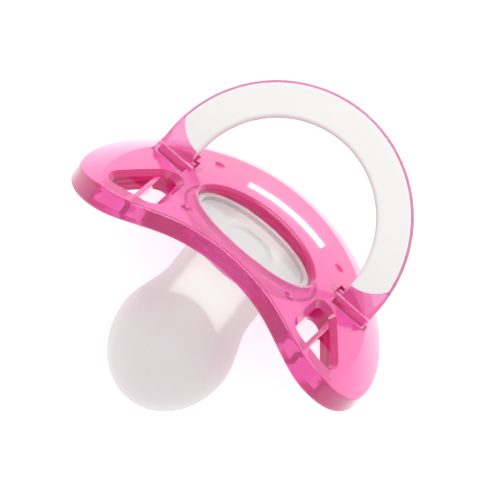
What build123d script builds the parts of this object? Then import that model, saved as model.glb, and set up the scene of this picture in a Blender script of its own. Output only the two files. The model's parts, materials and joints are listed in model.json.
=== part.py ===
"""A pacifier: a bent translucent shield, a hollow silicone teat, a snap-in plug that holds the
teat, and a swinging handle made of a frame and a moulded-on grip band.

Every piece is drawn in the shield frame and is then laid on the table by one placement:
X runs along the shield, Y towards the chin edge, and Z outwards, from the teat to the handle.
The origin of the shield frame is the middle of the shield's outer face. Lengths are millimetres.
"""

import os
from math import cos, radians, sin, sqrt

from build123d import *

# ---------------------------------------------------------------- shield
SHIELD_LENGTH = 57.0            # tip to tip
CHIN_EDGE = 23.2                # from the teat's axis to the chin edge
NOSE_EDGE = 10.9                # from the teat's axis to the middle of the nose edge
WING_DROP = 3.0                 # how far the wings pass the middle of the nose edge
OUTER_BEND = 60.0               # radius along the shield, outer face
INNER_BEND = 49.0               # radius along the shield, face on the teat's side
CROWN = 150.0                   # radius across the shield, both faces
PLATE = 3.2                     # thickness at the middle
RIM_ROUND = 0.6                 # rounding of the rim, both faces
SHOULDER = 4.4                  # width of the sloping shoulder at the chin edge and the wings
SHOULDER_DROP = 1.2             # how far the shoulder falls to the rim
SHOULDER_MIDDLE = -3.0          # the shoulder's crown, towards the nose, so that it fades there

# ---------------------------------------------------------------- seat of the teat and the plug
WELL_HALF_LENGTH = 10.9         # half axes of the oval well in the outer face
WELL_HALF_WIDTH = 6.9
WELL_LIP = 0.7                  # rounding of the well's mouth
WELL_FLOOR_DEPTH = 2.9          # from the outer face to the plug's floor
UNDERCUT = 0.35                 # the plug's base snaps under this edge
LEDGE = 0.9                     # shield left under the teat's flange
COLLAR_WALL = 1.5               # wall round the well on the teat's side
COLLAR_ROUND = 0.8

# ---------------------------------------------------------------- plug
PLUG_FLOOR = 0.8
PLUG_RIM_HEIGHT = 0.7           # low rim that stands on the floor
PLUG_RIM_WALL = 0.8
PLUG_CLEARANCE = 0.05           # between the plug and the well, all round
SPIGOT_LENGTH = 4.5             # hollow spigot that keeps the teat's neck open
SPIGOT_WALL = 0.9

# ---------------------------------------------------------------- teat
TEAT_FLANGE = 0.9               # thickness of the clamped flange
NECK_HALF_WIDTH = 7.75
NECK_LENGTH = 10.0              # straight part under the flange
BULB_HALF_WIDTH = 10.0
BULB_DEPTH = 25.3               # from the outer face to the widest place
BULB_TIP = 12.8                 # from the widest place to the tip
TEAT_FLATTEN = 0.8              # width across the shield over width along it
TEAT_WALL = 1.7
TEAT_BORE = 4.9                 # half width of the bore in the neck
TEAT_CLEARANCE = 0.2            # between the soft teat and the shield or the plug

# ---------------------------------------------------------------- vents and marks of the shield
VENT_MARGIN = 8.1               # from the wing's tip to the middle of a vent's outer corner
VENT_INSIDE = 16.0              # from the middle to a vent's inner corners
VENT_LOBE_RADIUS = 2.6          # of the same corners, over the sloping mouth
VENT_CHAMFER = 0.9              # sloping mouth of a vent
WEB = 0.8                       # thickness of the rib that halves each vent
WEB_SINK = 1.1                  # the rib lies this far under the outer face
DIMPLE_WIDTH = 2.0
DIMPLE_DEPTH = 0.35
DIMPLES = ((12.6, 9.9), (10.5, -7.8))

# ---------------------------------------------------------------- handle and its hinge
HINGE_Y = 5.6                   # hinge axis, along X
HINGE_Z = -3.2
HANDLE_HALF_WIDTH = 21.5        # half width over the feet
HANDLE_REACH = 24.6             # from the hinge axis to the outside of the crown
CROWN_START = 3.0               # from the hinge axis to where the legs turn into the crown
BAND_WIDTH = 5.9                # across the flat band, all round
BAND_THICKNESS = 2.4
BAND_ROUND = 0.75
KNUCKLE_RADIUS = 1.3
KNUCKLE_SHIFT = 0.8             # the knuckle passes the inside of its leg
PIN_RADIUS = 0.75
PIN_LENGTH = 1.1
PIN_CLEARANCE = 0.06            # running fit of a pin in its socket
FOOT_CLEARANCE = 0.3            # round a foot in its pocket
SWING_LOW = 37.0                # handle angle from the chin side of the shield's plane
SWING_HIGH = 143.0
SWING_REST = 60.0               # where the snug hinge holds the handle
SWING_SPARE = 2.0               # the pocket lets the handle pass its stops by this angle
SKIN = 0.5                      # frame left outside the grip band
GRIP_START = 2.8                # from the hinge axis to the tips of the grip band
GRIP_END_RADIUS = 6.2           # round end of the grip band in each foot

# ---------------------------------------------------------------- worked out
HALF_LENGTH = SHIELD_LENGTH / 2
VENT_OUTSIDE = HALF_LENGTH - VENT_MARGIN
VENT_LOBES = ((VENT_INSIDE, -2.4), (VENT_OUTSIDE, -8.2), (VENT_INSIDE - 0.1, -8.9))
WEB_PLACE = VENT_INSIDE + 0.32 * (VENT_OUTSIDE - VENT_INSIDE)
PLUG_BASE_Z = -WELL_FLOOR_DEPTH - PLUG_FLOOR
FLANGE_Z = PLUG_BASE_Z - TEAT_FLANGE
COLLAR_Z = FLANGE_Z - LEDGE
NECK_HALF_DEPTH = NECK_HALF_WIDTH * TEAT_FLATTEN
FOOT_INSIDE = HANDLE_HALF_WIDTH - BAND_WIDTH
KNUCKLE_INSIDE = FOOT_INSIDE - KNUCKLE_SHIFT
FAR = 40.0                      # longer than any piece, for cutting tools


def sag(radius, reach):
    """How far an arc falls from its top."""
    return radius - sqrt(radius ** 2 - reach ** 2)


def skin_height(x, y, bend, crown, top):
    """Height of a bent and crowned skin over a point."""
    return sqrt((bend - sag(crown, y)) ** 2 - x ** 2) - bend + top


def shoulder_shape():
    """Bend, crown and top of the skin that cuts the shoulder.

    It meets the outer face one shoulder's width inside the chin edge and the wings' tips, and
    lies the shoulder's drop under it at the chin edge.
    """
    inner = (CHIN_EDGE - SHOULDER - SHOULDER_MIDDLE) ** 2
    outer = (CHIN_EDGE - SHOULDER_MIDDLE) ** 2
    inner_fall = sag(CROWN, CHIN_EDGE - SHOULDER)
    outer_fall = sag(CROWN, CHIN_EDGE) + SHOULDER_DROP
    top = (outer * inner_fall - inner * outer_fall) / (inner - outer)
    crown = inner / (2 * (top + inner_fall))
    reach = HALF_LENGTH - SHOULDER
    fall = top + sag(OUTER_BEND, reach)
    bend = (reach ** 2 + fall ** 2) / (2 * fall)
    return bend, crown, top


def outer_height(x, y):
    """Height of the shield's outer side over a point: its face or its shoulder."""
    bend, crown, top = shoulder_shape()
    face = skin_height(x, y, OUTER_BEND, CROWN, 0)
    shoulder = skin_height(x, y - SHOULDER_MIDDLE, bend, crown, top)
    return min(face, shoulder)


def barrel(bend, crown, top):
    """Solid whose skin is bent along X with one radius and crowned across with another."""
    half = FAR * 0.7
    ends = top - sag(crown, half)
    skin = ThreePointArc((-half, ends), (0, top), (half, ends))
    axis_z = top - bend
    sides = Polyline((half, ends), (half, axis_z), (-half, axis_z), (-half, ends))
    face = Plane.YZ * make_face(skin + sides)
    return revolve(face, Axis((0, 0, axis_z), (0, 1, 0)), 360)


def shield_outline():
    """Outline seen from the handle's side: round at the chin, notched at the nose."""
    wing = NOSE_EDGE + WING_DROP
    right = [
        (0.52 * HALF_LENGTH, 0.865 * CHIN_EDGE),
        (0.87 * HALF_LENGTH, 0.485 * CHIN_EDGE),
        (HALF_LENGTH, 0.06 * CHIN_EDGE),
        (0.935 * HALF_LENGTH, -0.64 * wing),
        (0.70 * HALF_LENGTH, -wing),
        (0.36 * HALF_LENGTH, -NOSE_EDGE - 0.42 * WING_DROP),
    ]
    left = [(-x, y) for x, y in reversed(right)]
    points = [(0, CHIN_EDGE)] + right + [(0, -NOSE_EDGE)] + left
    outline = make_face(Spline(*points, periodic=True))
    return scale(outline, (SHIELD_LENGTH / outline.bounding_box().size.X, 1, 1))


def oval(half_x, half_y, low, high):
    """Upright oval block between two heights."""
    return extrude(Pos(0, 0, low) * Ellipse(half_x, half_y), high - low)


def plate():
    """The bent plate with its round rim, before anything is cut."""
    bent = barrel(OUTER_BEND, CROWN, 0) - barrel(INNER_BEND, CROWN, -PLATE)
    blank = bent & extrude(Pos(0, 0, -FAR) * shield_outline(), 2 * FAR)
    blank = blank.solids().sort_by(Axis.Z)[-1]
    blank = blank & Pos(0, SHOULDER_MIDDLE, 0) * barrel(*shoulder_shape())
    blank = blank.solids().sort_by(Axis.Z)[-1]
    rims = [edge for edge in blank.edges() if is_rim_edge(edge)]
    return fillet(rims, min(RIM_ROUND, 0.35 * (PLATE - SHOULDER_DROP)))


def is_rim_edge(edge):
    """An edge of the outline, on either face, and not the shoulder's crease or a wall's edge."""
    crease = max(abs(outer_crease_gap(edge.position_at(t))) for t in (0.1, 0.5, 0.9)) < 0.01
    return abs(edge.tangent_at(0.5).Z) < 0.95 and not crease


def outer_crease_gap(point):
    """How far the shoulder lies over or under the outer face at a point."""
    bend, crown, top = shoulder_shape()
    shoulder = skin_height(point.X, point.Y - SHOULDER_MIDDLE, bend, crown, top)
    return shoulder - skin_height(point.X, point.Y, OUTER_BEND, CROWN, 0)


def vent_profile(side, radius):
    """Rounded triangle: the hull of three equal circles."""
    lobes = [Pos(side * x, y) * Edge.make_circle(radius) for x, y in VENT_LOBES]
    return make_hull(lobes)


def mouth_edges(solid, probe, reach_x, reach_y):
    """Edges of a cut on the outer face, near a point."""
    found = []
    for edge in solid.edges():
        middle = edge.position_at(0.5)
        near = abs(middle.X - probe[0]) < reach_x and abs(middle.Y - probe[1]) < reach_y
        if near and abs(middle.Z - outer_height(middle.X, middle.Y)) < 0.05:
            found.append(edge)
    return found


def cut_vent(solid, side):
    """Cut one vent with its sloping mouth."""
    opening = vent_profile(side, VENT_LOBE_RADIUS - VENT_CHAMFER)
    opening = extrude(Pos(0, 0, -FAR) * opening, 2 * FAR)
    solid = solid - opening
    mouth = mouth_edges(solid, (side * WEB_PLACE, -5.6), 6.2, 6.2)
    return chamfer(mouth, VENT_CHAMFER)


def vent_rib(whole, side):
    """The rib across one vent, a little under the outer face."""
    slab = Pos(side * WEB_PLACE, -5.6, 0) * Box(WEB, 15, 2 * FAR)
    rib = slab & extrude(Pos(0, 0, -FAR) * vent_profile(side, VENT_LOBE_RADIUS), 2 * FAR)
    return rib & whole & (Pos(0, 0, -WEB_SINK) * whole)


def swept_foot(side):
    """Room that one foot sweeps between the handle's stops, with its clearance."""
    half = BAND_THICKNESS / 2 + FOOT_CLEARANCE
    inside = FOOT_INSIDE - FOOT_CLEARANCE
    outside = HANDLE_HALF_WIDTH + FOOT_CLEARANCE
    middle = side * (inside + outside) / 2
    room = Pos(middle, 0, 0) * Rot(0, 90, 0) * Cylinder(half, outside - inside)
    low = radians(SWING_LOW - SWING_SPARE)
    high = radians(SWING_HIGH + SWING_SPARE)
    far_low = (half * sin(low) + FAR * cos(low), -half * cos(low) + FAR * sin(low))
    far_high = (-half * sin(high) + FAR * cos(high), half * cos(high) + FAR * sin(high))
    fan = Polyline(
        (half * sin(low), -half * cos(low)),
        far_low,
        (0, 2 * FAR),
        far_high,
        (-half * sin(high), half * cos(high)),
        (0, -half * 0.5),
        close=True,
    )
    wedge = extrude(Plane.YZ * make_face(fan), (outside - inside) / 2, both=True)
    return Pos(0, HINGE_Y, HINGE_Z) * (room + Pos(middle, 0, 0) * wedge)


def knuckle_room(side):
    """Room for one knuckle and the socket of its pin."""
    length = HANDLE_HALF_WIDTH - KNUCKLE_INSIDE + 2 * FOOT_CLEARANCE
    middle = side * (HANDLE_HALF_WIDTH + KNUCKLE_INSIDE) / 2
    groove = Pos(middle, 0, 0) * Rot(0, 90, 0) * Cylinder(KNUCKLE_RADIUS + FOOT_CLEARANCE, length)
    drop_in = Pos(middle, 0, 2.5) * Box(length, 2 * (KNUCKLE_RADIUS + FOOT_CLEARANCE), 5)
    pin_length = PIN_LENGTH + FOOT_CLEARANCE
    pin_middle = side * (KNUCKLE_INSIDE - pin_length / 2)
    socket = Pos(pin_middle, 0, 0) * Rot(0, 90, 0) * Cylinder(PIN_RADIUS + PIN_CLEARANCE, pin_length)
    return Pos(0, HINGE_Y, HINGE_Z) * (groove + drop_in + socket)


def make_shield():
    whole = plate()
    collar_x = WELL_HALF_LENGTH + COLLAR_WALL
    collar_y = WELL_HALF_WIDTH + COLLAR_WALL
    collar = oval(collar_x, collar_y, COLLAR_Z, -0.8 * PLATE)
    collar = fillet(collar.edges().group_by(Axis.Z)[0], COLLAR_ROUND)
    solid = whole
    for side in (1, -1):
        solid = cut_vent(solid, side)
    solid = solid + collar
    for side in (1, -1):
        solid = solid + vent_rib(whole, side)
        solid = solid - swept_foot(side)
        solid = solid - knuckle_room(side)
    well = oval(WELL_HALF_LENGTH, WELL_HALF_WIDTH, PLUG_BASE_Z, FAR)
    solid = solid - well
    mouth = mouth_edges(solid, (0, 0), WELL_HALF_LENGTH + 0.5, WELL_HALF_WIDTH + 0.5)
    solid = fillet(mouth, WELL_LIP)
    snap_top = PLUG_BASE_Z + PLUG_FLOOR * 0.6
    undercut = oval(WELL_HALF_LENGTH + UNDERCUT, WELL_HALF_WIDTH + UNDERCUT, FLANGE_Z, snap_top)
    neck_hole = oval(
        NECK_HALF_WIDTH + TEAT_CLEARANCE, NECK_HALF_DEPTH + TEAT_CLEARANCE, -FAR, 0
    )
    solid = solid - undercut - neck_hole
    ball = (DIMPLE_WIDTH ** 2 / 4 + DIMPLE_DEPTH ** 2) / (2 * DIMPLE_DEPTH)
    for place_x, place_y in DIMPLES:
        for side in (1, -1):
            lift = outer_height(place_x, place_y) + ball - DIMPLE_DEPTH
            solid = solid - Pos(side * place_x, place_y, lift) * Sphere(ball)
    return solid


def make_plug():
    """Oval dish that snaps over the teat's flange, with a hollow spigot in the neck."""
    half_x = WELL_HALF_LENGTH - PLUG_CLEARANCE
    half_y = WELL_HALF_WIDTH - PLUG_CLEARANCE
    snap = UNDERCUT
    snap_top = PLUG_BASE_Z + PLUG_FLOOR * 0.6 - PLUG_CLEARANCE
    base = oval(half_x + snap, half_y + snap, PLUG_BASE_Z, snap_top)
    rim_top = -WELL_FLOOR_DEPTH + PLUG_RIM_HEIGHT
    dish = oval(half_x, half_y, PLUG_BASE_Z, rim_top)
    hollow = oval(half_x - PLUG_RIM_WALL, half_y - PLUG_RIM_WALL, -WELL_FLOOR_DEPTH, rim_top)
    bore = TEAT_BORE - TEAT_CLEARANCE
    low = PLUG_BASE_Z - SPIGOT_LENGTH
    spigot = oval(bore, bore * TEAT_FLATTEN, low, PLUG_BASE_Z)
    inside = oval(bore - SPIGOT_WALL, bore * TEAT_FLATTEN - SPIGOT_WALL, low, PLUG_BASE_Z)
    return base + (dish - hollow) + (spigot - inside)


def teat_profile(neck, bulb, tip, top):
    """Half section in the XZ plane: neck, swelling, and a quarter ellipse to the tip."""
    neck_end = FLANGE_Z - NECK_LENGTH
    swell = Spline(
        (neck, neck_end), (bulb, -BULB_DEPTH), tangents=[(0, -1), (0, -1)],
    )
    end = EllipticalCenterArc((0, -BULB_DEPTH), bulb, tip, start_angle=270, arc_size=90)
    closing = Polyline((0, -BULB_DEPTH - tip), (0, top), (neck, top), (neck, neck_end))
    return make_face(swell + end + closing)


def make_teat():
    """Hollow bulb and neck, flattened across the shield, with an oval flange."""
    outside = revolve(
        Plane.XZ * teat_profile(NECK_HALF_WIDTH, BULB_HALF_WIDTH, BULB_TIP, FLANGE_Z), Axis.Z
    )
    inside = revolve(
        Plane.XZ * teat_profile(
            TEAT_BORE, BULB_HALF_WIDTH - TEAT_WALL, BULB_TIP - TEAT_WALL, PLUG_BASE_Z
        ),
        Axis.Z,
    )
    outside = scale(outside, (1, TEAT_FLATTEN, 1))
    inside = scale(inside, (1, TEAT_FLATTEN, 1))
    half_x = WELL_HALF_LENGTH + UNDERCUT - TEAT_CLEARANCE
    half_y = WELL_HALF_WIDTH + UNDERCUT - TEAT_CLEARANCE
    flange = oval(half_x, half_y, FLANGE_Z, PLUG_BASE_Z)
    return outside + flange - inside


def half_oval(half_width, reach):
    """Region inside a leg line and crown line of the handle, drawn from the hinge axis up."""
    crown = Pos(0, CROWN_START) * Ellipse(half_width, reach - CROWN_START)
    above = Pos(0, CROWN_START + FAR) * Rectangle(2 * FAR, 2 * FAR)
    legs = Pos(0, CROWN_START / 2) * Rectangle(2 * half_width, CROWN_START)
    return (crown & above) + legs


def make_handle_blank():
    """Both legs and the crown of the handle as one rounded band, flat in the XY plane."""
    outer = half_oval(HANDLE_HALF_WIDTH, HANDLE_REACH)
    inner = half_oval(HANDLE_HALF_WIDTH - BAND_WIDTH, HANDLE_REACH - BAND_WIDTH)
    band = extrude(outer - inner, BAND_THICKNESS / 2, both=True)
    flats = [
        edge for edge in band.edges()
        if abs(edge.tangent_at(0.5).Z) < 0.1 and edge.position_at(0.5).Y > 0.01
    ]
    return fillet(flats, BAND_ROUND)


def grip_region():
    """What the grip band takes from the handle, seen flat."""
    inside = half_oval(HANDLE_HALF_WIDTH - SKIN, HANDLE_REACH - SKIN)
    end_middle = GRIP_START + GRIP_END_RADIUS
    above = Pos(0, end_middle + FAR) * Rectangle(2 * FAR, 2 * FAR)
    ends = [
        Pos(side * (FOOT_INSIDE - 0.1), end_middle) * Circle(GRIP_END_RADIUS) for side in (1, -1)
    ]
    return inside & (above + ends[0] + ends[1])


def make_handle():
    """The frame with its feet, knuckles and pins, and the grip band moulded onto it."""
    blank = make_handle_blank()
    cutter = extrude(grip_region(), BAND_THICKNESS, both=True)
    grip = blank & cutter
    frame = blank - cutter
    for side in (1, -1):
        knuckle_middle = side * (HANDLE_HALF_WIDTH + KNUCKLE_INSIDE) / 2
        length = HANDLE_HALF_WIDTH - KNUCKLE_INSIDE
        frame += Pos(knuckle_middle, 0, 0) * Rot(0, 90, 0) * Cylinder(KNUCKLE_RADIUS, length)
        pin_middle = side * (KNUCKLE_INSIDE - PIN_LENGTH / 2)
        frame += Pos(pin_middle, 0, 0) * Rot(0, 90, 0) * Cylinder(PIN_RADIUS, PIN_LENGTH)
    return frame, grip


def swung(shape, angle):
    """Put a handle piece on its hinge, swung up from the chin side by an angle."""
    return Pos(0, HINGE_Y, HINGE_Z) * Rot(angle, 0, 0) * shape


def tilted(shape, tilt):
    """Turn the shield frame so that its chin edge points down, tilt degrees short of upright."""
    return Rot(tilt - 90, 0, 0) * shape


def lowest(shape):
    return shape.bounding_box().min.Z


def balance(error, low, high):
    """Angle between two bounds at which a rising error passes zero."""
    for _ in range(16):
        middle = (low + high) / 2
        if error(middle) < 0:
            low = middle
        else:
            high = middle
    return (low + high) / 2


def main():
    os.makedirs("parts", exist_ok=True)
    shield = make_shield()
    teat = make_teat()
    plug = make_plug()
    frame, grip = make_handle()

    tilt = balance(lambda angle: lowest(tilted(shield, angle)) - lowest(tilted(teat, angle)), 5, 60)

    pieces = {
        "shield": shield,
        "teat": teat,
        "retaining_plug": plug,
        "handle_frame": swung(frame, SWING_REST),
        "handle_grip": swung(grip, SWING_REST),
    }
    laid = {name: tilted(shape, tilt) for name, shape in pieces.items()}
    boxes = [shape.bounding_box() for shape in laid.values()]
    front = min(box.min.Y for box in boxes)
    back = max(box.max.Y for box in boxes)
    table = min(box.min.Z for box in boxes)
    place = Pos(0, -(front + back) / 2, -table)
    for name, shape in laid.items():
        export_step(place * shape, f"parts/{name}.step")
    print(f"tilt {tilt:.4f} origin Y {-(front + back) / 2:.4f} Z {-table:.4f}")


main()
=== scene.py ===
"""Looks of a pacifier: finishes for its mouldings, a modelled silicone teat and a bright stage."""

import json
from math import atan2, cos, pi, radians, sin

import bpy
from mathutils import Matrix, Vector

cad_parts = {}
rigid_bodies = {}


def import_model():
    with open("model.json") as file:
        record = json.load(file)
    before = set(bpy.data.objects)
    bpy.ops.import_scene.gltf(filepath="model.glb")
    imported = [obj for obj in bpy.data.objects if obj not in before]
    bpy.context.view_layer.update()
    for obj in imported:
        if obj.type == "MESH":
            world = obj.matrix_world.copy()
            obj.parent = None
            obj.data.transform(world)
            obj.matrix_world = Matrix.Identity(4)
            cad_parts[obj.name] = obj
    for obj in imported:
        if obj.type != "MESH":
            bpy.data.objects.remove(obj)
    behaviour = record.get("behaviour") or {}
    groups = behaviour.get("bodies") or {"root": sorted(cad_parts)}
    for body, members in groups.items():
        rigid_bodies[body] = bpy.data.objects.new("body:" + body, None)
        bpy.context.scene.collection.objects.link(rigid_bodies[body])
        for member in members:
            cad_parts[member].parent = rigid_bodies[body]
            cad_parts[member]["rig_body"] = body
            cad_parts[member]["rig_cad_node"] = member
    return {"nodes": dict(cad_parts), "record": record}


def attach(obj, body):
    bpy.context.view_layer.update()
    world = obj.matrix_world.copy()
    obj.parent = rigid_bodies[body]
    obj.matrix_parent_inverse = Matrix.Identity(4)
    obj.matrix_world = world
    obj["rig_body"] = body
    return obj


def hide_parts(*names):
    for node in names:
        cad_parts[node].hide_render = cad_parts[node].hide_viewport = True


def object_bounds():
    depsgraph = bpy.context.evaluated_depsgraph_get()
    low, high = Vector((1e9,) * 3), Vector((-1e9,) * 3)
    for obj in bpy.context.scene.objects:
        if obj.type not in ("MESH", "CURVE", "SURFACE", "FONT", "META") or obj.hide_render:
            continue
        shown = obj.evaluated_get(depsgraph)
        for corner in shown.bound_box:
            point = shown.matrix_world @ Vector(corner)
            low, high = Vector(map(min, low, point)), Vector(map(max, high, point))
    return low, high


bl_info = {
    "name": "Pacifier",
    "version": (1, 0, 0),
    "blender": (4, 5, 0),
    "location": "View3D > Sidebar > Pacifier",
    "description": "Builds the soft teat, the finishes and the stage of a pacifier",
    "category": "Object",
}

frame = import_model()
cad_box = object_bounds()

MM = 0.001
LABEL_FACE = next(m for m in frame["record"]["mounts"] if m["name"] == "label_face")
OUTWARD = Vector(LABEL_FACE["axis"]).normalized()
TILT = atan2(OUTWARD.z, OUTWARD.y)
LABEL_DEPTH = 2.9 * MM          # from the shield's outer face to the floor of the well
SHIELD_MIDDLE = Vector(LABEL_FACE["pos_m"]) + OUTWARD * LABEL_DEPTH
SHIELD_FRAME = Matrix.Translation(SHIELD_MIDDLE) @ Matrix.Rotation(TILT - pi / 2, 4, "X")
MERGE = 0.001 * MM              # points nearer than this become one
TEAT_SEGMENTS = 128
BULB_STEPS = 40                 # rings on each part of the bulb's curve
FLANGE_ROOT = 0.3 * MM          # rounding between the teat's neck and its flange
FLANGE_EDGE = 0.2 * MM          # bevel of the flange
TEAT_CREASE = radians(40)       # sharper edges than this stay crisp
GRIP_CREASE = radians(35)
GRIP_PROUD = 0.03 * MM          # how far the grip band stands out of its seam with the frame

PLASTIC_IOR = 1.5
SILICONE_IOR = 1.41
COAT_IOR = 1.4                  # polished skin of the pink plastic
SHIELD_POLISH = 0.03            # roughness of that skin
HANDLE_POLISH = 0.05

# Painted light on the silicone where the bore is empty: a lighter colour and a stronger glow in a
# window with a domed lower border
PAINTED_LIGHT_FADE = (0.86, 1.12)      # start and end of its side borders, in half widths of the bore
PAINTED_LIGHT_REACH = 1.02             # lower border, in lengths of the neck
PAINTED_LIGHT_DOME = 2.6 * MM
PAINTED_LIGHT_SOFTNESS = 1.0 * MM

# Lamps. The strip shows as a streak in the shield's skin, so it stands where the skin mirrors it.
KEY_OFFSET = Vector((-0.08, 0.36, 0.37))
KEY_SIZE = 0.24
STREAK = Vector((-0.8, 12.7, -0.5)) * MM    # middle of the streak, in the shield frame
STREAK_RISE = radians(26.9)     # how far above the level the skin there faces
STRIP_SIZE = (20 * MM, 1.3 * MM)
STRIP_SPREAD = radians(70)
STRIP_BACK = 1.5 * MM           # the strip stops this far short of the floor
FLOOR_SIZE = 4.0

# Camera: how far its aim lies from the middle of the shield, to the left and down in the view
AIM_LEFT = 1.54 * MM
AIM_DOWN = 2.92 * MM
SENSOR = 36.0


# ---------------------------------------------------------------- properties

class PacifierTeatSizes(bpy.types.PropertyGroup):
    """Sizes of the silicone teat, measured from the shield's outer face."""

    flange_top: bpy.props.FloatProperty(
        name="Flange top", description="Depth of the flange's upper face",
        default=3.7 * MM, unit="LENGTH")
    flange_thickness: bpy.props.FloatProperty(
        name="Flange thickness", description="Thickness of the clamped flange",
        default=0.9 * MM, unit="LENGTH")
    flange_length: bpy.props.FloatProperty(
        name="Flange half length", description="Half the flange's length along the shield",
        default=11.05 * MM, unit="LENGTH")
    flange_width: bpy.props.FloatProperty(
        name="Flange half width", description="Half the flange's width across the shield",
        default=7.05 * MM, unit="LENGTH")
    neck: bpy.props.FloatProperty(
        name="Neck half width", description="Half the neck's width along the shield",
        default=7.75 * MM, unit="LENGTH")
    neck_length: bpy.props.FloatProperty(
        name="Neck length", description="Straight part under the flange",
        default=10.0 * MM, unit="LENGTH")
    bulb: bpy.props.FloatProperty(
        name="Bulb half width", description="Half the bulb's greatest width",
        default=10.0 * MM, unit="LENGTH")
    bulb_depth: bpy.props.FloatProperty(
        name="Bulb depth", description="Depth of the bulb's widest place",
        default=25.3 * MM, unit="LENGTH")
    tip: bpy.props.FloatProperty(
        name="Tip length", description="From the bulb's widest place to its tip",
        default=12.8 * MM, unit="LENGTH")
    flatten: bpy.props.FloatProperty(
        name="Flattening", description="Width across the shield over width along it",
        default=0.8, min=0.4, max=1.0)
    wall: bpy.props.FloatProperty(
        name="Wall", description="Thickness of the bulb's wall",
        default=1.7 * MM, unit="LENGTH")
    bore: bpy.props.FloatProperty(
        name="Bore half width", description="Half the bore's width in the neck",
        default=4.9 * MM, unit="LENGTH")


class PacifierFinishes(bpy.types.PropertyGroup):
    """Colours and depths of colour of the plastics and the silicone, and the silicone's painted
    glow.
    """

    pink: bpy.props.FloatVectorProperty(
        name="Pink", description="Light that the pink plastic lets through",
        default=(0.95, 0.02, 0.66), subtype="COLOR", min=0.0, max=1.0)
    pink_body: bpy.props.FloatVectorProperty(
        name="Pink body", description="Colour that the slightly cloudy pink plastic scatters",
        default=(1.0, 0.03, 0.42), subtype="COLOR", min=0.0, max=1.0)
    cloud: bpy.props.FloatProperty(
        name="Cloudiness", description="Share of the light that the pink plastic scatters",
        default=0.32, min=0.0, max=1.0)
    pink_depth: bpy.props.FloatProperty(
        name="Pink depth", description="How fast the pink plastic colours light, per metre",
        default=480.0, min=0.0)
    handle_depth: bpy.props.FloatProperty(
        name="Handle depth", description="How fast the handle's pink plastic colours light",
        default=230.0, min=0.0)
    silicone: bpy.props.FloatVectorProperty(
        name="Silicone", description="Colour of the milky silicone",
        default=(0.86, 0.82, 0.825), subtype="COLOR", min=0.0, max=1.0)
    # Painted light: a lighter copy of the silicone's colour over the open bore, standing in for
    # light shining through the neck
    silicone_painted_light: bpy.props.FloatVectorProperty(
        name="Clear silicone", description="Colour of the silicone over the open bore",
        default=(1.0, 0.97, 0.94), subtype="COLOR", min=0.0, max=1.0)
    # Painted glow: emission on the silicone, which is no lamp, standing in for light shining
    # through it
    glow: bpy.props.FloatVectorProperty(
        name="Silicone glow", description="Light that comes out of the milky silicone",
        default=(0.2, 0.19, 0.19), subtype="COLOR", min=0.0, max=1.0)
    # Painted light: the glow over the open bore, stronger than on the rest of the silicone
    painted_bore_glow: bpy.props.FloatVectorProperty(
        name="Bore glow", description="Light that comes out over the open bore",
        default=(1.0, 0.93, 0.91), subtype="COLOR", min=0.0, max=1.0)
    # Strength of the painted glow, over the bore and elsewhere
    painted_glow_strength: bpy.props.FloatProperty(
        name="Glow strength", description="Strength of both glows",
        default=0.17, min=0.0, max=1.0)
    plug: bpy.props.FloatVectorProperty(
        name="Plug", description="Colour of the clear retaining plug",
        default=(0.98, 0.975, 0.98), subtype="COLOR", min=0.0, max=1.0)
    grip: bpy.props.FloatVectorProperty(
        name="Grip", description="Colour of the off-white grip band",
        default=(0.84, 0.84, 0.83), subtype="COLOR", min=0.0, max=1.0)


class PacifierStage(bpy.types.PropertyGroup):
    """Where the camera stands and how bright the studio is."""

    distance: bpy.props.FloatProperty(
        name="Distance", description="From the camera to the object",
        default=0.70, unit="LENGTH")
    width: bpy.props.FloatProperty(
        name="View width", description="Width of the view at the object",
        default=76.9 * MM, unit="LENGTH")
    lean: bpy.props.FloatProperty(
        name="Lean", description="How far the camera leans from straight above, towards +X",
        default=radians(4.8), unit="ROTATION")
    roll: bpy.props.FloatProperty(
        name="Roll", description="Turn of the camera round its own axis",
        default=radians(40.9), unit="ROTATION")
    sky: bpy.props.FloatProperty(
        name="Sky", description="Brightness of the white surroundings",
        default=0.85, min=0.0)
    panel: bpy.props.FloatProperty(
        name="Light panel", description="Own glow of the floor, a frosted light panel",
        default=0.5, min=0.0)
    key: bpy.props.FloatProperty(
        name="Key", description="Power of the soft box behind the handle",
        default=1.0, min=0.0, unit="POWER")
    strip: bpy.props.FloatProperty(
        name="Strip", description="Power of the low strip lamp that shows in the shield",
        default=0.00007, min=0.0, unit="POWER")


# ---------------------------------------------------------------- shader maths

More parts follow.
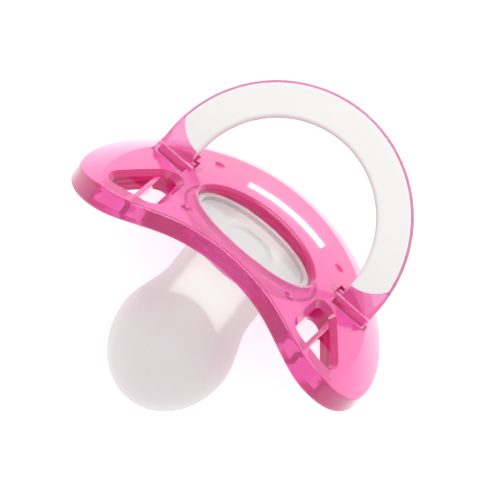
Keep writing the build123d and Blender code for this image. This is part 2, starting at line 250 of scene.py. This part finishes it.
class Shade:
    """A socket of a node tree that takes part in Python expressions."""

    def __init__(self, tree, socket):
        self.tree = tree
        self.socket = socket

    def node(self, kind, values=(), output=0, **settings):
        """Add a node, set its settings, give its sockets values or links, and return one output."""
        made = self.tree.nodes.new(kind)
        for key, value in settings.items():
            setattr(made, key, value)
        pairs = values.items() if isinstance(values, dict) else enumerate(values)
        for key, value in pairs:
            if isinstance(value, Shade):
                self.tree.links.new(value.socket, made.inputs[key])
            else:
                made.inputs[key].default_value = value
        return Shade(self.tree, made.outputs[output])

    def maths(self, operation, *values):
        return self.node("ShaderNodeMath", values, operation=operation)

    def __add__(self, other):
        return self.maths("ADD", self, other)

    __radd__ = __add__

    def __rsub__(self, other):
        return self.maths("SUBTRACT", other, self)

    def __mul__(self, other):
        return self.maths("MULTIPLY", self, other)

    __rmul__ = __mul__

    def __truediv__(self, other):
        return self.maths("DIVIDE", self, other)

    def __pow__(self, other):
        return self.maths("POWER", self, other)

    def __abs__(self):
        return self.maths("ABSOLUTE", self)

    def step(self, low, high):
        """0 below low, 1 above high, and a smooth change between them."""
        return self.node(
            "ShaderNodeMapRange", [self, low, high, 0.0, 1.0], interpolation_type="SMOOTHSTEP")

    def blend(self, start, end):
        """Colour between two colours, by this share of the second."""
        return self.node(
            "ShaderNodeMix", {"Factor": self, 6: (*start, 1.0), 7: (*end, 1.0)},
            output=2, data_type="RGBA")


def new_material(name):
    """A new material, its Object coordinates as the start of expressions, and its shader."""
    material = bpy.data.materials.new(name)
    material.use_nodes = True
    tree = material.node_tree
    tree.nodes.clear()
    output = tree.nodes.new("ShaderNodeOutputMaterial")
    shader = tree.nodes.new("ShaderNodeBsdfPrincipled")
    tree.links.new(shader.outputs["BSDF"], output.inputs["Surface"])
    place = tree.nodes.new("ShaderNodeTexCoord")
    return material, Shade(tree, place.outputs["Object"]), shader


def feed(shade, socket):
    """Link an expression to a shader's socket."""
    shade.tree.links.new(shade.socket, socket)


def noise(place, size, detail):
    """Noise from 0 to 1 whose lumps are about the given size in metres."""
    return place.node(
        "ShaderNodeTexNoise", {"Vector": place, "Scale": 1 / size, "Detail": detail},
        output="Fac")


def bump(height, depth):
    """Normals of a skin that rises by a depth in metres where the height is 1."""
    return height.node(
        "ShaderNodeBump", {"Height": height, "Distance": depth, "Strength": 1.0},
        output="Normal")


def tint_volume(material, colour, depth):
    """Colour the light on its way through a plastic."""
    tree = material.node_tree
    volume = tree.nodes.new("ShaderNodeVolumeAbsorption")
    volume.inputs["Color"].default_value = (*colour, 1.0)
    volume.inputs["Density"].default_value = depth
    output = tree.get_output_node("ALL")
    tree.links.new(volume.outputs["Volume"], output.inputs["Volume"])


def pink_plastic(name, finishes, depth, polish):
    """Translucent pink plastic under a polished skin: mostly clear, a little cloudy."""
    material, place, clear = new_material(name)
    tree = material.node_tree
    clear.inputs["Base Color"].default_value = (1.0, 1.0, 1.0, 1.0)
    clear.inputs["Transmission Weight"].default_value = 1.0
    wear = noise(place, 4 * MM, 4.0)
    feed(0.10 + wear * 0.05, clear.inputs["Roughness"])
    cloudy = tree.nodes.new("ShaderNodeBsdfPrincipled")
    cloudy.inputs["Base Color"].default_value = (*finishes.pink_body, 1.0)
    cloudy.inputs["Roughness"].default_value = 0.4
    sink_marks = bump(noise(place, 6 * MM, 1.0), 0.02 * MM)
    for shader in (clear, cloudy):
        shader.inputs["IOR"].default_value = PLASTIC_IOR
        shader.inputs["Coat Weight"].default_value = 1.0
        shader.inputs["Coat Roughness"].default_value = polish
        shader.inputs["Coat IOR"].default_value = COAT_IOR
        feed(sink_marks, shader.inputs["Normal"])
    mix = tree.nodes.new("ShaderNodeMixShader")
    mix.inputs[0].default_value = finishes.cloud
    tree.links.new(clear.outputs["BSDF"], mix.inputs[1])
    tree.links.new(cloudy.outputs["BSDF"], mix.inputs[2])
    tree.links.new(mix.outputs["Shader"], tree.get_output_node("ALL").inputs["Surface"])
    tint_volume(material, finishes.pink, depth)
    return material


def clear_plastic(name, finishes):
    """Clear, faintly frosted plastic."""
    material, place, shader = new_material(name)
    shader.inputs["Base Color"].default_value = (*finishes.plug, 1.0)
    shader.inputs["Transmission Weight"].default_value = 0.6
    shader.inputs["IOR"].default_value = PLASTIC_IOR
    wear = noise(place, 3 * MM, 4.0)
    feed(0.03 + wear * 0.06, shader.inputs["Roughness"])
    return material


def grip_plastic(name, finishes):
    """Off-white plastic with a soft satin skin."""
    material, place, shader = new_material(name)
    shaded = [level * 0.985 for level in finishes.grip]
    tone = noise(place, 5 * MM, 2.0).blend(finishes.grip, shaded)
    feed(tone, shader.inputs["Base Color"])
    shader.inputs["Subsurface Weight"].default_value = 0.15
    shader.inputs["Subsurface Radius"].default_value = (1.0, 0.8, 0.8)
    shader.inputs["Subsurface Scale"].default_value = 0.5 * MM
    grain = noise(place, 0.12 * MM, 2.0)
    feed(0.34 + grain * 0.12, shader.inputs["Roughness"])
    feed(bump(grain, 0.006 * MM), shader.inputs["Normal"])
    return material


def painted_bore_light(place, sizes):
    """Where light is painted on the silicone: 1 over the open bore of the neck and 0 elsewhere,
    with soft borders.
    """
    moved = place.node("ShaderNodeVectorMath", [place, -SHIELD_MIDDLE], operation="ADD")
    turned = place.node(
        "ShaderNodeVectorRotate",
        {"Vector": moved, "Rotation": SHIELD_FRAME.inverted().to_euler()},
        rotation_type="EULER_XYZ")
    along = turned.node("ShaderNodeSeparateXYZ", [turned], output="X")
    height = turned.node("ShaderNodeSeparateXYZ", [turned], output="Z")
    side = abs(along) / sizes.bore
    border = -sizes.flange_top - sizes.neck_length * PAINTED_LIGHT_REACH
    dome = height + side ** 2.0 * PAINTED_LIGHT_DOME
    return (1.0 - side.step(*PAINTED_LIGHT_FADE)) * dome.step(border, border + PAINTED_LIGHT_SOFTNESS)


def silicone_rubber(name, finishes, sizes):
    """Milky silicone with a faint painted glow, and painted light over the open bore of the neck: a
    lighter colour and a stronger glow there.
    """
    material, place, shader = new_material(name)
    painted_light = painted_bore_light(place, sizes)
    # Painted light over the open bore: lighter colour and stronger glow, standing in for light
    # shining through the neck
    feed(painted_light.blend(finishes.silicone, finishes.silicone_painted_light), shader.inputs["Base Color"])
    # Painted glow of the silicone, which is no lamp
    feed(painted_light.blend(finishes.glow, finishes.painted_bore_glow), shader.inputs["Emission Color"])
    shader.inputs["Emission Strength"].default_value = finishes.painted_glow_strength
    shader.inputs["Subsurface Weight"].default_value = 1.0
    shader.inputs["Subsurface Radius"].default_value = (1.0, 0.9, 0.9)
    shader.inputs["Subsurface Scale"].default_value = 2.5 * MM
    shader.inputs["Transmission Weight"].default_value = 0.25
    shader.inputs["IOR"].default_value = SILICONE_IOR
    satin = noise(place, 0.25 * MM, 2.0)
    feed(0.30 + satin * 0.1, shader.inputs["Roughness"])
    feed(bump(satin, 0.006 * MM), shader.inputs["Normal"])
    return material


def floor_panel(name, glow):
    """Frosted white light panel."""
    material, place, shader = new_material(name)
    shader.inputs["Base Color"].default_value = (0.8, 0.8, 0.8, 1.0)
    shader.inputs["Emission Color"].default_value = (1.0, 1.0, 1.0, 1.0)
    shader.inputs["Emission Strength"].default_value = glow
    grain = noise(place, 0.4 * MM, 2.0)
    feed(0.6 + grain * 0.1, shader.inputs["Roughness"])
    return material


# ---------------------------------------------------------------- modelling helpers

def select_only(piece):
    """Leave one object selected and active."""
    if bpy.context.object and bpy.context.object.mode != "OBJECT":
        bpy.ops.object.mode_set(mode="OBJECT")
    bpy.ops.object.select_all(action="DESELECT")
    piece.select_set(True)
    bpy.context.view_layer.objects.active = piece


def paint(piece, material):
    """Give a piece one material on all its faces."""
    piece.data.materials.clear()
    piece.data.materials.append(material)


def merged_copy(node, name):
    """Copy of a CAD node as one skin, free of its body, ready to be worked on."""
    source = frame["nodes"][node]
    select_only(source)
    bpy.ops.object.duplicate()
    piece = bpy.context.object
    piece.name = name
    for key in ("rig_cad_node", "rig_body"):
        del piece[key]
    bpy.ops.object.parent_clear(type="CLEAR_KEEP_TRANSFORM")
    bpy.ops.mesh.customdata_custom_splitnormals_clear()
    bpy.ops.object.mode_set(mode="EDIT")
    bpy.ops.mesh.select_all(action="SELECT")
    bpy.ops.mesh.remove_doubles(threshold=MERGE)
    bpy.ops.object.mode_set(mode="OBJECT")
    return piece


def lathe(name, rings, segments):
    """Skin drawn from pole to pole by extruding an oval ring from place to place."""
    half_x, half_y, height = rings[0]
    bpy.ops.object.select_all(action="DESELECT")
    bpy.ops.mesh.primitive_circle_add(
        vertices=segments, radius=1.0, fill_type="TRIFAN", location=(0, 0, height))
    piece = bpy.context.object
    piece.name = name
    bpy.ops.object.transform_apply(location=True, rotation=True, scale=True)
    bpy.ops.object.mode_set(mode="EDIT")
    bpy.ops.mesh.select_mode(type="EDGE")
    bpy.ops.mesh.select_all(action="SELECT")
    bpy.ops.transform.resize(value=(half_x, half_y, 1.0), center_override=(0, 0, height))
    bpy.ops.mesh.region_to_loop()
    for next_x, next_y, next_height in rings[1:]:
        bpy.ops.mesh.extrude_edges_move(
            TRANSFORM_OT_translate={"value": (0, 0, next_height - height)})
        bpy.ops.transform.resize(
            value=(next_x / half_x, next_y / half_y, 1.0), center_override=(0, 0, next_height))
        half_x, half_y, height = next_x, next_y, next_height
    bpy.ops.mesh.merge(type="CENTER")
    bpy.ops.mesh.select_all(action="SELECT")
    bpy.ops.mesh.remove_doubles(threshold=MERGE)
    bpy.ops.mesh.normals_make_consistent(inside=False)
    bpy.ops.object.mode_set(mode="OBJECT")
    return piece


def set_in_shield_frame(piece):
    """Move a piece drawn round the shield's middle to its place and settle it there."""
    select_only(piece)
    piece.matrix_world = SHIELD_FRAME
    bpy.ops.object.transform_apply(location=True, rotation=True, scale=True)


def bulb_rings(neck, bulb, tip, sizes):
    """Rings from the tip up to the end of the neck: quarter ellipse, then a smooth waist."""
    neck_end = -sizes.flange_top - sizes.flange_thickness - sizes.neck_length
    rise = neck_end + sizes.bulb_depth
    end, waist = [], []
    for i in range(1, BULB_STEPS + 1):
        share = i / BULB_STEPS
        half = bulb * sin(pi / 2 * share)
        end.append((half, half * sizes.flatten, -sizes.bulb_depth - tip * cos(pi / 2 * share)))
        half = bulb + (neck - bulb) * share * share * (3 - 2 * share)
        waist.append((half, half * sizes.flatten, -sizes.bulb_depth + rise * share))
    return end + waist


def teat_rings(sizes):
    """All rings of the teat's one closed skin, from the outer tip to the inner tip."""
    top = -sizes.flange_top
    under = top - sizes.flange_thickness
    flatten = sizes.flatten
    length, width = sizes.flange_length, sizes.flange_width
    root, edge = FLANGE_ROOT, FLANGE_EDGE
    outside = bulb_rings(sizes.neck, sizes.bulb, sizes.tip, sizes)
    neck_y = sizes.neck * flatten
    flange = [
        (sizes.neck, neck_y, under - root),
        (sizes.neck + root / 3, neck_y + root / 3, under - root / 6),
        (sizes.neck + root, neck_y + root, under),
        (length - edge, width - edge, under),
        (length, width, under + edge),
        (length, width, top - edge),
        (length - edge, width - edge, top),
        (sizes.bore + edge, (sizes.bore + edge) * flatten, top),
        (sizes.bore, sizes.bore * flatten, top - edge),
    ]
    inside = bulb_rings(sizes.bore, sizes.bulb - sizes.wall, sizes.tip - sizes.wall, sizes)
    return outside + flange + inside[::-1]


# ---------------------------------------------------------------- operators

class PACIFIER_OT_shield(bpy.types.Operator):
    """Give the shield its translucent pink plastic"""

    bl_idname = "pacifier.shield"
    bl_label = "Shield"

    def execute(self, context):
        finishes = context.scene.pacifier_finishes
        pink = pink_plastic("shield_pink", finishes, finishes.pink_depth, SHIELD_POLISH)
        paint(frame["nodes"]["shield"], pink)
        return {"FINISHED"}


class PACIFIER_OT_teat(bpy.types.Operator):
    """Model the hollow silicone teat with its neck, bulb and clamped flange"""

    bl_idname = "pacifier.teat"
    bl_label = "Teat"

    def execute(self, context):
        sizes = context.scene.pacifier_teat
        finishes = context.scene.pacifier_finishes
        teat = lathe("silicone_teat", teat_rings(sizes), TEAT_SEGMENTS)
        set_in_shield_frame(teat)
        bpy.ops.object.shade_smooth_by_angle(angle=TEAT_CREASE)
        paint(teat, silicone_rubber("milky_silicone_painted_glow", finishes, sizes))
        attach(teat, "shield_body")
        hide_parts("teat")
        return {"FINISHED"}


class PACIFIER_OT_plug(bpy.types.Operator):
    """Give the retaining plug its clear plastic"""

    bl_idname = "pacifier.plug"
    bl_label = "Retaining plug"

    def execute(self, context):
        clear = clear_plastic("clear_plug", context.scene.pacifier_finishes)
        paint(frame["nodes"]["retaining_plug"], clear)
        return {"FINISHED"}


class PACIFIER_OT_handle(bpy.types.Operator):
    """Finish the handle's pink frame and its off-white grip band"""

    bl_idname = "pacifier.handle"
    bl_label = "Handle"

    def execute(self, context):
        finishes = context.scene.pacifier_finishes
        pink = pink_plastic("handle_pink", finishes, finishes.handle_depth, HANDLE_POLISH)
        paint(frame["nodes"]["handle_frame"], pink)
        grip = merged_copy("handle_grip", "grip_band")
        bpy.ops.object.mode_set(mode="EDIT")
        bpy.ops.mesh.select_all(action="SELECT")
        bpy.ops.transform.shrink_fatten(value=GRIP_PROUD)
        bpy.ops.object.mode_set(mode="OBJECT")
        bpy.ops.object.shade_smooth_by_angle(angle=GRIP_CREASE)
        bpy.ops.object.modifier_add(type="WEIGHTED_NORMAL")
        grip.modifiers[-1].keep_sharp = True
        bpy.ops.object.modifier_apply(modifier=grip.modifiers[-1].name)
        paint(grip, grip_plastic("grip_white", finishes))
        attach(grip, "handle")
        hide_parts("handle_grip")
        return {"FINISHED"}


class PACIFIER_OT_stage(bpy.types.Operator):
    """Set the floor, the soft studio light and the camera"""

    bl_idname = "pacifier.stage"
    bl_label = "Stage"

    def execute(self, context):
        scene = context.scene
        stage = scene.pacifier_stage
        bpy.ops.object.select_all(action="DESELECT")
        bpy.ops.mesh.primitive_plane_add(size=FLOOR_SIZE)
        floor = context.object
        floor.name = "floor"
        paint(floor, floor_panel("white_panel", stage.panel))

        world = bpy.data.worlds.new("white_studio")
        scene.world = world
        world.use_nodes = True
        backdrop = world.node_tree.nodes["Background"]
        backdrop.inputs["Color"].default_value = (1.0, 1.0, 1.0, 1.0)
        backdrop.inputs["Strength"].default_value = stage.sky
        scene.view_settings.view_transform = "Standard"

        middle = (cad_box[0] + cad_box[1]) / 2
        soft_lamp("key", middle + KEY_OFFSET, middle, KEY_SIZE, KEY_SIZE, stage.key)
        streak = SHIELD_FRAME @ STREAK
        bounce = 2 * STREAK_RISE - pi / 2
        reach = streak.z / -sin(bounce) - STRIP_BACK
        place = streak + Vector((0, cos(bounce), sin(bounce))) * reach
        strip = soft_lamp("strip", place, streak, *STRIP_SIZE, stage.strip)
        strip.data.spread = STRIP_SPREAD
        place_camera(scene, stage)
        return {"FINISHED"}


def soft_lamp(name, place, target, width, height, power):
    """A rectangular soft box that faces the object and isn't seen itself."""
    bpy.ops.object.light_add(type="AREA", location=place)
    lamp = bpy.context.object
    lamp.name = name
    lamp.rotation_euler = (target - place).to_track_quat("-Z", "Y").to_euler()
    lamp.visible_camera = False
    lamp.data.shape = "RECTANGLE"
    lamp.data.size = width
    lamp.data.size_y = height
    lamp.data.energy = power
    return lamp


def place_camera(scene, stage):
    """Look down on the resting object, leaning a little along the shield, rolled."""
    towards = Vector((sin(stage.lean), 0.0, cos(stage.lean)))
    level = (Vector((1, 0, 0)) - towards * towards.x).normalized()
    upright = towards.cross(level)
    right = level * cos(stage.roll) + upright * sin(stage.roll)
    up = upright * cos(stage.roll) - level * sin(stage.roll)
    aim = SHIELD_MIDDLE - right * AIM_LEFT - up * AIM_DOWN
    camera_data = bpy.data.cameras.new("camera")
    camera = bpy.data.objects.new("camera", camera_data)
    scene.collection.objects.link(camera)
    turn = Matrix((right, up, towards)).transposed().to_4x4()
    camera.matrix_world = Matrix.Translation(aim + towards * stage.distance) @ turn
    camera_data.sensor_width = SENSOR
    camera_data.lens = SENSOR * stage.distance / stage.width
    camera_data.clip_start = 0.01
    camera_data.clip_end = 20.0
    scene.camera = camera


class PACIFIER_PT_panel(bpy.types.Panel):
    """The pacifier's building steps"""

    bl_idname = "PACIFIER_PT_panel"
    bl_label = "Pacifier"
    bl_space_type = "VIEW_3D"
    bl_region_type = "UI"
    bl_category = "Pacifier"

    def draw(self, context):
        for step in STEPS:
            self.layout.operator(step.bl_idname)


GROUPS = {
    "pacifier_teat": PacifierTeatSizes,
    "pacifier_finishes": PacifierFinishes,
    "pacifier_stage": PacifierStage,
}
STEPS = (
    PACIFIER_OT_shield,
    PACIFIER_OT_teat,
    PACIFIER_OT_plug,
    PACIFIER_OT_handle,
    PACIFIER_OT_stage,
)


def register():
    for group in GROUPS.values():
        bpy.utils.register_class(group)
    for name, group in GROUPS.items():
        setattr(bpy.types.Scene, name, bpy.props.PointerProperty(type=group))
    for step in STEPS:
        bpy.utils.register_class(step)
    bpy.utils.register_class(PACIFIER_PT_panel)


def unregister():
    bpy.utils.unregister_class(PACIFIER_PT_panel)
    for step in reversed(STEPS):
        bpy.utils.unregister_class(step)
    for name, group in GROUPS.items():
        delattr(bpy.types.Scene, name)
        bpy.utils.unregister_class(group)


def main():
    register()
    bpy.ops.pacifier.shield()
    bpy.ops.pacifier.teat()
    bpy.ops.pacifier.plug()
    bpy.ops.pacifier.handle()
    bpy.ops.pacifier.stage()


if __name__ == "__main__":
    main()
